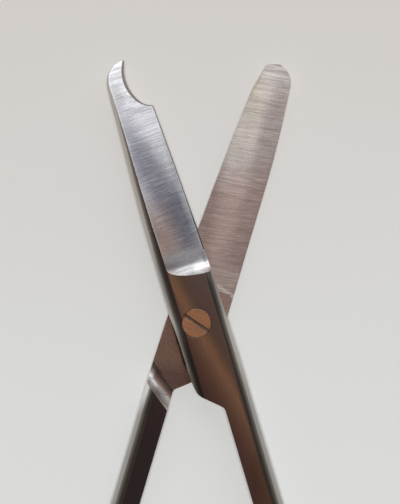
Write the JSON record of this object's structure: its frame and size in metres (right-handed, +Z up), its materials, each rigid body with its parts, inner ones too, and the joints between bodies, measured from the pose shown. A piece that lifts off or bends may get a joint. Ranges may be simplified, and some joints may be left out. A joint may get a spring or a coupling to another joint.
{
  "type": "suture scissors",
  "caption": "Small steel stitch scissors lying open: one blade with a hooked notch for lifting a suture, one round-tipped blade, a slotted pivot screw and oval finger rings.",
  "frame": {"origin": "on the pivot's axis, in the plane that the lower sides of both halves rest on", "axes": "+Z up along the pivot's axis to the screw head, +Y towards the blade tips along the line that halves the angle between the open blades, +X to the side of the round-tipped blade"},
  "size_m": [0.0886, 0.107, 0.0044],
  "materials": {
    "blade_steel": "polished all over, with fine cross brush lines on the ground blade faces",
    "screw_steel": "polished, with faint concentric turning lines"
  },
  "bodies": {
    "round_half": {"round_blade": "blade_steel", "pivot_screw": "screw_steel"},
    "hook_half": {"hook_blade": "blade_steel"}
  },
  "joints": [
    {"name": "pivot", "type": "hinge", "parent": "round_half", "child": "hook_half", "pos_m": [0, 0, 0], "axis": [0, 0, 1], "range_deg": [-32.5, 92]}
  ]
}
